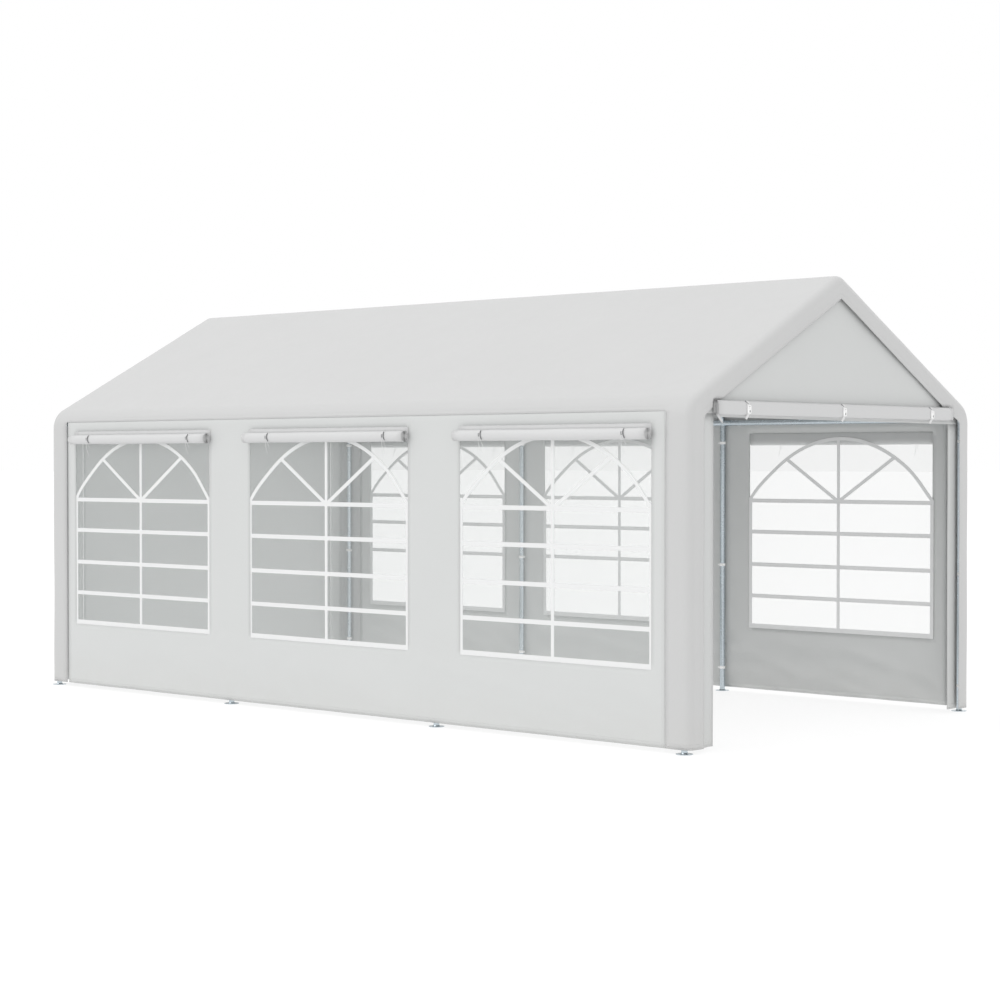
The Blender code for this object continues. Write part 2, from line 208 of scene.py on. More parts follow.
def make_piece(name, patches, finish, stands_for=(), thickness=0.0, solid=False):
    """One object from several patches. thickness gives a sheet its cloth, and solid says that
    the patches are closed, so that all their faces can be turned outwards."""
    start, points, faces, flats, edges = 0, [], [], [], []
    for part in patches:
        count = len(part["points"])
        points.append(part["points"])
        faces += (part["faces"] + start).tolist()
        faces += [[v + start for v in ring] for ring in part["closing"]]
        flats.append(np.zeros((count, 2)) if part["flat"] is None else part["flat"])
        edges.append(np.full(count, 1.0) if part["edge"] is None else part["edge"])
        start += count
    points, flats, edges = np.concatenate(points), np.concatenate(flats), np.concatenate(edges)
    used, order = np.unique(np.concatenate([np.array(face) for face in faces]),
                            return_inverse=True)
    sizes = np.cumsum([len(face) for face in faces])[:-1]
    faces = [face.tolist() for face in np.split(order, sizes)]
    mesh = bpy.data.meshes.new(name)
    mesh.from_pydata(points[used].tolist(), [], faces)
    layer = mesh.uv_layers.new(name="flat")
    corners = np.empty(len(mesh.loops), np.int32)
    mesh.loops.foreach_get("vertex_index", corners)
    layer.data.foreach_set("uv", flats[used][corners].astype(np.float32).ravel())
    hem = mesh.attributes.new("edge", "FLOAT", "POINT")
    hem.data.foreach_set("value", edges[used].astype(np.float32))
    if solid:
        shell = bmesh.new()
        shell.from_mesh(mesh)
        bmesh.ops.recalc_face_normals(shell, faces=shell.faces)
        shell.to_mesh(mesh)
        shell.free()
    mesh.shade_smooth()
    mesh.set_sharp_from_angle(angle=math.radians(38))
    mesh.materials.append(finish)
    made = bpy.data.objects.new(name, mesh)
    bpy.context.scene.collection.objects.link(made)
    if thickness:
        cloth = made.modifiers.new("cloth", "SOLIDIFY")
        cloth.thickness = thickness
        cloth.offset = -1
    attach(made, "root")
    if stands_for:
        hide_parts(*stands_for)
    print(name, len(points), "points", len(faces), "faces")
    return made


# %% [markdown]
# Cloth is never quite flat. Three functions give it life: a soft step, a bell, and a field of
# ripples, which is a sum of plane waves in all directions. Their directions and starts come
# from a generator with a fixed seed, so that the tent looks the same at each run.

# %% Soft steps and ripples
def step(value, low, high):
    """0 up to low, 1 from high on, and 3t^2 - 2t^3 between, t being the share of the way."""
    t = np.clip((value - low) / (high - low), 0, 1)
    return t * t * (3 - 2 * t)


def bell(value, middle, reach):
    """1 at the middle, falling as exp(-d^2) with d the distance in units of reach."""
    return np.exp(-(((value - middle) / reach) ** 2))


def ripples(a, b, size, seed, count=8, lean=None):
    """The sum of sin(k . (a, b) + start) over count waves, scaled to stay near -1 to 1.

    Each wave is 0.6 to 1.6 sizes long. lean is the direction (in radians) that the waves run
    in, give or take 0.35, and any direction without it.
    """
    seeded = np.random.default_rng(seed)
    turns = seeded.uniform(0, np.pi, count) if lean is None else lean + seeded.uniform(-0.35, 0.35, count)
    waves = 2 * np.pi / (size * seeded.uniform(0.6, 1.6, count))
    starts = seeded.uniform(0, 2 * np.pi, count)
    a, b = np.broadcast_arrays(a, b)
    along = a[..., None] * np.cos(turns) + b[..., None] * np.sin(turns)
    return np.sin(along * waves + starts).sum(axis=-1) / math.sqrt(2 * count)


def folds(a, b, size, seed, lean):
    """Sharp crests with broad valleys: (1 - |ripples|)^3, the look of handled sheeting."""
    return np.clip(1 - np.abs(ripples(a, b, size, seed, 5, lean)), 0, 1) ** 3

# %% [markdown]
# ## The white sheeting
# The cloth is woven polyethylene tape with a white coating on both faces. From afar it is a
# satin white with broad, faint buckles. Close up it shows a fine square weave, small creases
# from being folded in its bag, and a row of stitches along each hem. Each of these is a height
# at its own scale, from 30 cm down to 1.5 mm, and the heights are laid over each other.

# %% Sheeting
HEM_WIDTH = 0.034           # where the cloth is doubled, and where grids have a line for it


def sheeting(name, tone, roughness=0.46, buckle=1.0):
    """Coated woven sheeting. tone is its colour, darker in the copies that carry painted shade, and buckle scales the
    broad unevenness.
    """
    made, tree, shader = start_finish(name, tone, roughness, Sheen_Weight=0.08,
                                      Sheen_Roughness=0.5, Specular_IOR_Level=0.42)
    place = place_on(tree)
    flat = add_node(tree, "UVMap", uv_map="flat").outputs["UV"]
    edge = add_node(tree, "Attribute", attribute_name="edge").outputs["Fac"]
    broad = noise(tree, place, 1.7, 3.0, Roughness=0.5)
    fine = noise(tree, place, 11.0, 5.0, Roughness=0.62, Distortion=0.7)
    warp = add_node(tree, "TexWave", {"Vector": flat, "Scale": 105.0},
                    bands_direction="X").outputs["Fac"]
    weft = add_node(tree, "TexWave", {"Vector": flat, "Scale": 105.0},
                    bands_direction="Y").outputs["Fac"]
    weave = math_node(tree, "MULTIPLY", warp, weft)
    parts = add_node(tree, "SeparateXYZ", {0: flat})
    run = math_node(tree, "ADD", parts.outputs[0], parts.outputs[1])
    dash = math_node(tree, "LESS_THAN", math_node(tree, "FRACT", math_node(tree, "DIVIDE", run, 0.008)), 0.62)
    row = math_node(tree, "COMPARE", edge, 0.012, 0.0012)
    row = math_node(tree, "MAXIMUM", row, math_node(tree, "COMPARE", edge, 0.030, 0.0012))
    thread = math_node(tree, "MULTIPLY", row, dash)
    doubled = math_node(tree, "LESS_THAN", edge, HEM_WIDTH)
    patchy = add_node(tree, "MapRange", {"Value": broad, "From Min": 0.3, "From Max": 0.7}).outputs[0]
    colour = blended(tree, patchy, tuple(c * 0.985 for c in tone), tone)
    height = add_node(tree, "SeparateXYZ", {0: place}).outputs[2]
    splash = add_node(tree, "MapRange", {"Value": height, "From Min": 0.0, "From Max": 0.30,
                                         "To Min": 0.35, "To Max": 0.0}).outputs[0]
    dusty = math_node(tree, "MULTIPLY", splash, fine)
    dust = add_node(tree, "Mix", {0: dusty, 6: colour, 7: (0.55, 0.54, 0.51, 1)}, data_type="RGBA")
    tree.links.new(dust.outputs[2], shader.inputs["Base Color"])
    worn = add_node(tree, "MapRange", {"Value": fine, "To Min": roughness - 0.07,
                                       "To Max": roughness + 0.09}).outputs[0]
    tree.links.new(worn, shader.inputs["Roughness"])
    normal = bumped(tree, [(broad, 0.05, 0.10 * buckle), (fine, 0.0035, 0.30), (weave, 0.0002, 0.4),
                           (doubled, 0.0006, 0.5), (thread, 0.0006, 0.8)])
    tree.links.new(normal, shader.inputs["Normal"])
    return made


# These five tones are one white sheeting with painted shade in it. The cover's tone is lowered for its strips and
# borders on the gable side, and the gable panels and rolled door are darker than the walls and blinds, because they
# face away from the side lamp.
roof_sheeting_with_painted_shade = sheeting("roof_sheeting_with_painted_shade", (0.560, 0.562, 0.561))
wall_sheeting = sheeting("wall_sheeting", (0.614, 0.625, 0.620))
gable_sheeting = sheeting("gable_sheeting", (0.582, 0.592, 0.588))
blind_sheeting = sheeting("blind_sheeting", (0.625, 0.627, 0.629), 0.40, 0.4)
door_sheeting_with_painted_shade = sheeting("door_sheeting_with_painted_shade", (0.590, 0.592, 0.594), 0.40, 0.4)
print("sheeting: weave every 3 mm, stitches 12 and 30 mm inside each hem")

# %% [markdown]
# ## The cover
# Roof, gable borders and corner sleeves are one sewn cover. Think of the tent's outline from
# the end: up a leg, round the eave, up the slope, over the ridge and down the other side. That
# outline is carried along the tent. At each gable it turns through a quarter circle and shrinks
# inwards, which makes the border. The first number of the grid runs along the tent and in over
# the gable, the second runs round the outline. Below the eaves only the corners are kept.

# %% Sizes of the cover
PITCH = math.radians(28.04)
LEAN = math.pi / 2 - PITCH
COVER_HALF, COVER_PEAK = 1.531, 2.8302
EAVE_ROUND, RIDGE_ROUND, GABLE_ROUND, BORDER = 0.155, 0.095, 0.050, 0.136
FRONT_X, REAR_X = 3.015, 3.011
FRONT_STRIP, REAR_STRIP = 2.833, 2.822
HEM_Z, SEAM_Z = 0.027, 1.962
CLOTH = 0.0008
CENTRE_Y = COVER_HALF - EAVE_ROUND
CENTRE_Z = COVER_PEAK - COVER_HALF * math.tan(PITCH) - EAVE_ROUND * math.tan(LEAN / 2)
SEAM_ANGLE = math.asin((SEAM_Z - CENTRE_Z) / EAVE_ROUND)
SEAM_ROW = 39


def outline(inset):
    """The outline at each inset, as y and z arrays (insets, points), from near hem to far hem.

    half = 1.531 - inset and peak = 2.8302 - inset / cos(pitch) move every side in by the
    inset. The eave is an arc of 155 mm and the ridge one of 95 mm, and both tighten inwards.
    """
    inset = np.asarray(inset, float)[:, None]
    half, peak = COVER_HALF - inset, COVER_PEAK - inset / math.cos(PITCH)
    eave, ridge = EAVE_ROUND - 0.81 * inset, np.maximum(RIDGE_ROUND - 0.68 * inset, 0.008)
    centre_z = peak - half * math.tan(PITCH) - eave * math.tan(LEAN / 2)
    bend = np.concatenate([np.linspace(0, SEAM_ANGLE, 4), np.linspace(SEAM_ANGLE, LEAN, 10)[1:]])
    arc_y, arc_z = half - eave + eave * np.cos(bend), centre_z + eave * np.sin(bend)
    low = np.concatenate([[HEM_Z], np.linspace(HEM_Z + HEM_WIDTH, 1.86, 32)])
    rise = np.linspace(0, 1, 5)[1:-1]
    drop_z = np.concatenate([low + 0 * inset, 1.86 + (centre_z - 1.86) * rise], axis=1)
    over = np.linspace(LEAN, math.pi / 2, 6)
    top_y, top_z = ridge * np.cos(over), peak - ridge / math.cos(PITCH) + ridge * np.sin(over)
    share = np.concatenate([np.linspace(0, 0.32, 48)[1:], np.linspace(0.32, 1, 34)[1:-1]])
    slope_y = arc_y[:, -1:] + (top_y[:, :1] - arc_y[:, -1:]) * share
    slope_z = arc_z[:, -1:] + (top_z[:, :1] - arc_z[:, -1:]) * share
    y = np.concatenate([half + 0 * drop_z, arc_y, slope_y, top_y], axis=1)
    z = np.concatenate([drop_z, arc_z, slope_z, top_z], axis=1)
    return np.hstack([-y, y[:, -2::-1]]), np.hstack([z, z[:, -2::-1]])

# %% The cover's grid
turn_in = np.linspace(math.pi / 2, 0, 8)
gable_inset = np.concatenate([np.linspace(BORDER, GABLE_ROUND, 9)[:-1], GABLE_ROUND - GABLE_ROUND * np.cos(turn_in)])


def end_lines(gable, strip):
    """x from a border's edge to its strip's edge: flat on the gable, a quarter circle, along."""
    bend = gable - GABLE_ROUND + GABLE_ROUND * np.sin(turn_in)
    return np.concatenate([np.full(8, gable), bend, np.linspace(bend[-1], strip, 5)[1:]])


front_x, rear_x = end_lines(FRONT_X, FRONT_STRIP), end_lines(REAR_X, REAR_STRIP)
cover_x = np.concatenate([front_x, np.linspace(FRONT_STRIP, -REAR_STRIP, 150)[1:-1], -rear_x[::-1]])
cover_inset = np.concatenate([gable_inset, np.zeros(len(cover_x) - 2 * len(gable_inset)), gable_inset[::-1]])
cover_y, cover_z = outline(cover_inset)
cover_points = np.stack([np.broadcast_to(cover_x[:, None], cover_y.shape), cover_y, cover_z], axis=-1).copy()
print("cover grid", cover_points.shape[:2])

# %% [markdown]
# The plain outline is then softened. The roof sags a few millimetres between the rafters, the
# corner strips lean in to the wall at their edge, each border leans in towards its gable panel
# along the slopes, and at the open gable the cloth tucks in behind the rolled-up door, as the
# photograph shows.

# %% Soften the cover
ROLL_Z, ROLL_TALL, ROLL_ENDS = 1.982, 0.091, (-1.270, 1.300)
x, y, z = (cover_points[..., k] for k in range(3))
inset = np.broadcast_to(cover_inset[:, None], x.shape)
past_strip = np.maximum(x - FRONT_STRIP, -REAR_STRIP - x).copy()
on_roof = step(z, 2.04, 2.15) * step(2.80 - z, 0.0, 0.16)
bay = np.abs(np.sin(np.pi * (x + 2.955) / 1.97)) ** 1.4
sag = 0.005 * bay * on_roof * step(-past_strip, -0.12, 0.0)
soft = 0.0016 * ripples(x, np.abs(y), 0.55, 3) + 0.0010 * folds(x, y * 1.2 + z, 0.7, 4, 0.9)
off_seam = step(np.abs(np.abs(y) - COVER_HALF), 0.01, 0.08)
lift = soft * (0.35 + 0.65 * on_roof) * off_seam - sag
lift += 0.0018 * ripples(z, x + 3 * y, 0.9, 8) * step(1.9 - z, 0, 0.3) * step(past_strip, 0, 0.04)
normal = np.cross(np.gradient(cover_points, axis=0), np.gradient(cover_points, axis=1))
normal /= np.maximum(np.linalg.norm(normal, axis=-1, keepdims=True), 1e-12)
if normal[len(cover_x) // 2, normal.shape[1] // 2, 2] < 0:
    normal = -normal
cover_points += normal * lift[..., None]
lean_in = np.maximum(np.abs(y) - 1.5250, 0) * bell(past_strip, 0, 0.020) * (z < SEAM_Z)
cover_points[..., 1] -= np.sign(y) * lean_in
border = step(inset, 0.02, BORDER)
lean = 0.0135 * step(z, 1.93, 2.00) - 0.0085 * step(z, 2.10, 2.65)
cover_points[..., 0] -= np.sign(x) * lean * border
within = np.minimum(y - ROLL_ENDS[0], ROLL_ENDS[1] - y)
below_roll_top = step(ROLL_Z + ROLL_TALL / 2 + 0.014 - z, 0, 0.014)
tuck = step(within, -0.030, -0.002) * below_roll_top * step(z, 1.86, 1.925) * (x > 0)
cover_points[..., 0] -= tuck * np.maximum(cover_points[..., 0] - 2.9805, 0)
print("roof sag up to", round(float(sag.max()) * 1000, 1), "mm")

# %% Hems and cuts of the cover
rows, columns = cover_y.shape
column = np.minimum(np.arange(columns), columns - 1 - np.arange(columns))
below = np.maximum(column[:-1], column[1:]) <= SEAM_ROW
middle = past_strip[:, columns // 2] < 1e-6
cover_keep = ~((middle[:-1] & middle[1:])[:, None] & below[None, :])
around = np.concatenate([[0], np.cumsum(np.hypot(np.diff(cover_y[rows // 2]), np.diff(cover_z[rows // 2])))])
along = np.concatenate([[0], np.cumsum(np.hypot(np.diff(cover_x), np.diff(cover_inset)))])
cover_flat = np.stack(np.broadcast_arrays(along[:, None], around[None, :]), axis=-1)
rake_edge = BORDER - inset + 10 * (inset < 0.04)
from_seam = np.minimum(np.abs(around - around[SEAM_ROW]), np.abs(around[-1 - SEAM_ROW] - around))
seam_edge = np.where(middle[:, None] & (column >= SEAM_ROW), from_seam, 9)
strip_edge = np.where((past_strip > -1e-6) & (column <= SEAM_ROW), past_strip, 9)
cover_edge = np.minimum.reduce([rake_edge, seam_edge, strip_edge, z - HEM_Z])
cover = make_piece("tent_cover", [patch(cover_points, keep=cover_keep, turn=True, flat=cover_flat, edge=cover_edge)],
                   roof_sheeting_with_painted_shade,
                   ["roof_cover"] + [f"corner_sleeve_{s}_{e}" for s in ("near", "far") for e in ("rear", "front")],
                   CLOTH)

# %% [markdown]
# ## The long walls
# Each wall hangs inside the cover's edge and covers three bays. The grid runs along the tent
# and up the wall, with lines exactly on the window edges, so that the windows are cells left
# out. The cloth hangs just clear of the legs, and its top follows the cover's rounding. It is
# pulled flat round the windows and loose below them, so that is where the slanting folds are.

# %% Wall grid
WINDOWS = {1: (-2.711, -1.190), 2: (-0.761, 0.755), 3: (1.213, 2.731)}
WINDOW_LOW, WINDOW_TOP = 0.4705, 1.8745
WALL_ENDS, WALL_TOP = {"near": (-2.806, 2.840), "far": (-2.845, 2.840)}, 1.978
WALL_Y, UNDER_COVER = 1.5236, EAVE_ROUND - CLOTH - 0.0006
window_sides = [side for window in WINDOWS.values() for side in window]


def lines_between(stops, spacing):
    """Grid lines through every stop, with the stretches between them cut evenly."""
    pieces = [np.linspace(a, b, max(1, round((b - a) / spacing)) + 1)[:-1]
              for a, b in zip(stops, stops[1:])]
    return np.concatenate(pieces + [[stops[-1]]])


wall_z = lines_between([HEM_Z, HEM_Z + HEM_WIDTH, WINDOW_LOW, WINDOW_TOP, CENTRE_Z, WALL_TOP], 0.035)


def wall_points(side, ends, depth, seed):
    """The wall's place: y = side * (1.5236 + bulge), over all x between its ends and all z.

    bulge adds slanting folds of a few millimetres times depth below the windows and faint
    ripples between them. It dies away at the top, at both ends and round each window's frame.
    At the top the cloth comes out by 5.4 mm to lie against the cover, and stays within its
    rounding, y = centre + sqrt(r^2 - (z - centre)^2).
    """
    wall_x = lines_between([ends[0], ends[0] + HEM_WIDTH] + window_sides + [ends[1] - HEM_WIDTH, ends[1]], 0.035)
    x, z = np.meshgrid(wall_x, wall_z, indexing="ij")
    from_window = np.full(x.shape, 9.0)
    cell_x, cell_z = (wall_x[1:] + wall_x[:-1]) / 2, (wall_z[1:] + wall_z[:-1]) / 2
    keep = np.ones((len(cell_x), len(cell_z)), bool)
    for low, high in WINDOWS.values():
        out_x = np.maximum(np.maximum(low - x, x - high), 0)
        out_z = np.maximum(np.maximum(WINDOW_LOW - z, z - WINDOW_TOP), 0)
        from_window = np.minimum(from_window, np.hypot(out_x, out_z))
        keep &= ~(((cell_x > low) & (cell_x < high))[:, None]
                  & ((cell_z > WINDOW_LOW) & (cell_z < WINDOW_TOP))[None, :])
    free = step(from_window, 0.0, 0.16) * step(WALL_TOP - z, 0.02, 0.3) * (0.35 + 0.65 * step(0.50 - z, -0.1, 0.15))
    free *= step(np.minimum(x - ends[0], ends[1] - x), 0.02, 0.15)
    slant = 0.0050 * folds(x, 1.5 * z, 0.62, seed, 1.15) + 0.0035 * folds(x, z, 0.42, seed + 1, 1.35)
    bulge = depth * free * (slant + 0.0018 * (1 + ripples(x, z, 0.4, seed + 2)))
    bulge += 0.0004 * (1 + ripples(x, z, 0.8, seed + 3)) + 0.0054 * step(z, 1.89, 1.955)
    rounding = CENTRE_Y + np.sqrt(UNDER_COVER ** 2 - np.maximum(z - CENTRE_Z, 0) ** 2)
    points = np.stack([x, side * np.minimum(WALL_Y + bulge, np.where(z > 1.85, rounding, 9)), z], axis=-1)
    edge = np.minimum.reduce([z - HEM_Z, x - ends[0], ends[1] - x])
    return points, edge, keep


for side, sign, depth, seed in (("near", -1, 1.0, 21), ("far", 1, 1.8, 31)):
    points, edge, keep = wall_points(sign, WALL_ENDS[side], depth, seed)
    wall = make_piece(f"wall_{side}", [patch(points, keep=keep, turn=sign > 0, flat=points[..., [0, 2]], edge=edge)],
                      wall_sheeting, [f"side_wall_{side}"], CLOTH)

# %% [markdown]
# ## Windows
# A window is one sheet of clear film, welded into the wall, with its glazing bars printed on
# in white: three panes high, then a springing bar with a round arch, a post and two rays. The
# film's solid is already right, so it keeps its shape and gets a clear finish. Light must pass
# through it without noise, so the film is mostly transparent instead of refracting, and grows
# more reflective at a glancing angle. The bars are flat strips carried along straight and
# curved paths, a hair proud of the film on both faces.

# %% Film finish
film_finish, tree, shader = start_finish("window_film", (0.70, 0.73, 0.72), 0.07, Specular_IOR_Level=0.6)
facing = add_node(tree, "LayerWeight", {"Blend": 0.35}).outputs["Facing"]
cloudy = noise(tree, place_on(tree), 3.0, 3.0)
tree.links.new(add_node(tree, "MapRange", {"Value": facing, "To Min": 0.08, "To Max": 0.36}).outputs[0],
               shader.inputs["Alpha"])
tree.links.new(bumped(tree, [(cloudy, 0.01, 0.12)]), shader.inputs["Normal"])
for name, node in nodes.items():
    if name.startswith("window_film"):
        node.data.materials.clear()
        node.data.materials.append(film_finish)

# %% A profile carried along a path
def carried(path, profile, up, closed=False):
    """A tube: each profile point (a, b) sits at p + a * side + b * up for every path point p.

    up is a direction or one for each point. side is tangent x up, and the tangent at a point is
    the difference of its two neighbours.
    """
    path, profile = np.asarray(path, float), np.asarray(profile, float)
    if closed:
        tangent = np.roll(path, -1, axis=0) - np.roll(path, 1, axis=0)
    else:
        tangent = np.gradient(path, axis=0)
    up = np.broadcast_to(np.asarray(up, float), path.shape)
    side = np.cross(tangent, up)
    side /= np.linalg.norm(side, axis=1, keepdims=True)
    up = np.cross(side, tangent)
    up /= np.linalg.norm(up, axis=1, keepdims=True)
    points = path[:, None] + profile[None, :, :1] * side[:, None] + profile[None, :, 1:] * up[:, None]
    if closed:
        return ring_patch(points)
    return patch(points, around=True, ends=True)


def ring_patch(points):
    """Faces over a grid that closes on itself both ways, as a torus does."""
    rows, columns = points.shape[:2]
    i, j = np.meshgrid(np.arange(rows), np.arange(columns), indexing="ij")
    n, k = (i + 1) % rows, (j + 1) % columns
    faces = np.stack([i * columns + j, n * columns + j, n * columns + k, i * columns + k], axis=-1)
    return {"points": points.reshape(-1, 3), "faces": faces.reshape(-1, 4), "closing": [],
            "flat": None, "edge": None}


def strip_profile(width, thickness, centre=0.0):
    """A flat strip's four corners, width across and thickness along up."""
    w, t = width / 2, thickness / 2
    return [(-w, centre - t), (w, centre - t), (w, centre + t), (-w, centre + t)]


def round_profile(radius, sides=8):
    """A circle's points."""
    turn = np.arange(sides) * 2 * np.pi / sides
    return np.stack([radius * np.cos(turn), radius * np.sin(turn)], axis=1)

# %% Printed glazing bars
bar_finish = grained("printed_bars", (0.77, 0.775, 0.775), 0.35, 40.0, 3.0,
                     ((0.75, 0.755, 0.755), (0.79, 0.795, 0.795)), (0.0004, 0.3))

FILM_Y, BAR_MIDDLES = 1.5213, (-1.952, -0.006, 1.975)
SPRING_Z, RAY_SLOPE = 1.391, math.tan(math.radians(34.1))
ARCH_TOP, ARCH_FALL, ARCH_BEND = 1.831, 0.640, 0.1885


def line(x0, z0, x1, z1, count=2):
    """Points from (x0, z0) to (x1, z1), as arrays of x and z."""
    return np.linspace(x0, x1, count), np.linspace(z0, z1, count)


def arch(w):
    """The arch over w, the place across the window: z = top - fall w^2 - bend w^4.

    The print is stretched a little, so x = w + 0.018 near the top and x = w at the springing.
    """
    z = ARCH_TOP - ARCH_FALL * w ** 2 - ARCH_BEND * w ** 4
    return w + 0.018 * step(z, 1.45, 1.63), z


def window_bars():
    """Every bar as (x, z, width, layer). Layers lie 0.15 mm apart, so that crossings stay clean."""
    bars = [(*line(-0.765, 0.486, 0.765, 0.486), 0.032, 0)]
    bars += [(*line(-0.765, h, 0.765, h), 0.028, 0) for h in (0.704, 0.931, 1.166, SPRING_Z)]
    bars += [(*line(s * 0.7545, WINDOW_LOW, s * 0.7545, SPRING_Z + 0.014), 0.026, 1) for s in (-1, 1)]
    bars.append((*line(0, WINDOW_LOW, 0, ARCH_TOP), 0.024, 2))
    bars.append((*arch(np.linspace(-0.762, 0.762, 61)), 0.024, 3))
    for s, reach in ((-1, 0.438), (1, 0.456)):
        ray = line(s * 0.012, SPRING_Z + 0.012 * RAY_SLOPE, s * reach, SPRING_Z + reach * RAY_SLOPE)
        bars.append((*ray, 0.024, 4))
    return bars


for side, sign in (("near", -1), ("far", 1)):
    for number, middle in enumerate(BAR_MIDDLES, start=1):
        parts = []
        for x, z, width, layer in window_bars():
            path = np.stack([middle + x, np.full(len(x), sign * FILM_Y), z], axis=1)
            parts.append(carried(path, strip_profile(width, 0.0028 + 0.0003 * layer), (0, 1, 0)))
        make_piece(f"window_bars_{side}_{number}", parts, bar_finish, solid=True)

# %% [markdown]
# ## Rolled blinds
# Over each window hangs a blind, rolled up and tied. A roll is one sheet wound into a spiral:
# its radius grows by one pitch at each turn, r = r0 + pitch * angle / 2 pi. The pitch follows
# from the sheet's length, because the number of turns is that length over the mean way round.
# Winding it for real makes the ends look right, dark between the turns. A roll that is pressed
# flat is the same spiral with its upper and lower halves pulled apart. A blind is sewn to the
# wall above its window, so its last turn leaves the roll at the back and goes up the wall.

# %% Wind a sheet into a roll
def oval(radius, turn, flank):
    """A point on a flattened circle: (r cos t, r sin t + flank * s), s = sin t / sqrt(sin^2 t + 0.02)."""
    rise = np.sin(turn)
    return radius * np.cos(turn), radius * rise + flank * rise / np.sqrt(rise ** 2 + 0.02)


def wound(length, sheet_length, outer, core, last, segments, seed, flank=0.0, pinches=(), fray=0.0, lead=()):
    """A spiral grid (places along the roll, points round it) about the origin, axis along x.

    The radius is r0 + pitch * a / 2 pi, times 1 + 0.022 * ripples, less a bell at each tie.
    last is the angle where the spiral ends. fray moves each turn's ends in and out. lead is a
    list of (y, z) points that the sheet goes on through after the roll's last turn.
    """
    turns = sheet_length / (math.pi * (outer + core) + 4 * flank)
    pitch = (outer - core) / turns
    angle = np.linspace(0, turns * 2 * np.pi, int(turns * segments) + 1)
    stops = {-length / 2, length / 2, *[p + d for p, _ in pinches for d in (-0.03, -0.012, 0, 0.012, 0.03)]}
    x = lines_between(sorted(s for s in stops if abs(s) <= length / 2), 0.06)
    xx, aa = np.meshgrid(x, angle, indexing="ij")
    radius = core + pitch * aa / (2 * np.pi)
    share = (radius / outer) ** 2
    radius = radius * (1 + 0.022 * share * ripples(xx, 0.05 * np.cos(aa), 0.5, seed))
    for place, depth in pinches:
        radius -= depth * share * bell(xx, place, 0.016)
    y, z = oval(radius, aa - angle[-1] + last, flank)
    way = core * aa + pitch * aa ** 2 / (4 * np.pi) + 2 * flank * aa / np.pi
    if fray:
        xx = xx + fray * ripples(0.35 * aa, 0 * aa, 2.0, seed + 7) * (2 * xx / length) ** 9
    if len(lead):
        on = np.broadcast_to(np.array(lead), (len(x), len(lead), 2))
        reach = np.cumsum(np.hypot(*np.diff(np.array(lead), axis=0, prepend=[[y[0, -1], z[0, -1]]]).T))
        xx, way = np.hstack([xx, xx[:, -1:] + 0 * reach]), np.hstack([way, way[:, -1:] + reach])
        y, z = np.hstack([y, on[..., 0]]), np.hstack([z, on[..., 1]])
    return np.stack([xx, y, z], axis=-1), np.stack([xx, way], axis=-1), turns, pitch


BLIND_R, BLIND_ZS, BLIND_Y = 0.0353, {"near": 1.833, "far": 1.822}, 1.5596
BLINDS = {1: (-2.721, -1.176), 2: (-0.773, 0.7615), 3: (1.203, 2.733)}
TIES = {1: (-2.487, -1.355), 2: (-0.520, 0.596), 3: (1.442, 2.570)}
UP_THE_WALL = [(-0.0352, -0.009), (-0.0349, -0.020), (-0.0345, -0.036), (-0.0345, -0.060)]
for side, sign in (("near", -1), ("far", 1)):
    for number, (start, end) in BLINDS.items():
        middle, length = (start + end) / 2, end - start
        points, flat, turns, pitch = wound(length, 1.40, BLIND_R, 0.006, math.pi, 22, 40 + number,
                                           pinches=[(t - middle, 0.0022) for t in TIES[number]], lead=UP_THE_WALL)
        points = points * (1, sign, -1) + (middle, sign * BLIND_Y, BLIND_ZS[side])
        blind = make_piece(f"blind_{side}_{number}", [patch(points, turn=sign < 0, flat=flat)],
                           blind_sheeting, [f"window_blind_{side}_{number}"], 0.0004)
print("blinds:", round(turns, 1), "turns, pitch", round(pitch * 1000, 2), "mm")

# %% [markdown]
# ## Ties of the blinds
# Two thin strings hold each roll. Each goes round it with a white tape down its front, and its two ends hang down a
# little below. Dark grey strips on either side of the tape are painted shade along its edges. All of these lie on the
# roll, so their paths are arcs round it: y = r cos t and z = r sin t.

# %% White plastic, a dark grey for painted shade, and tape
plastic = grained("white_plastic", (0.95, 0.95, 0.95), 0.22, 220.0, 2.0,
                  ((0.93, 0.93, 0.925), (0.97, 0.97, 0.97)), (0.0002, 0.25), Coat_Weight=0.3, Coat_Roughness=0.08)
# This dark grey is painted shade: it is used only for strips put where shade falls, beside the tie tapes and in the
# buckles.
painted_shade_grey = grained("painted_shade_grey", (0.13, 0.135, 0.14), 0.35, 260.0, 2.0,
                       ((0.11, 0.115, 0.12), (0.16, 0.165, 0.17)), (0.0002, 0.25))
tape, tree, shader = start_finish("tape", (0.72, 0.72, 0.72), 0.75, Sheen_Weight=0.2)
ribs = add_node(tree, "TexWave", {"Vector": place_on(tree), "Scale": 160.0, "Distortion": 0.4},
                bands_direction="DIAGONAL").outputs["Fac"]
tree.links.new(blended(tree, ribs, (0.66, 0.66, 0.66), (0.76, 0.76, 0.76)), shader.inputs["Base Color"])
tree.links.new(bumped(tree, [(ribs, 0.0004, 0.5)]), shader.inputs["Normal"])

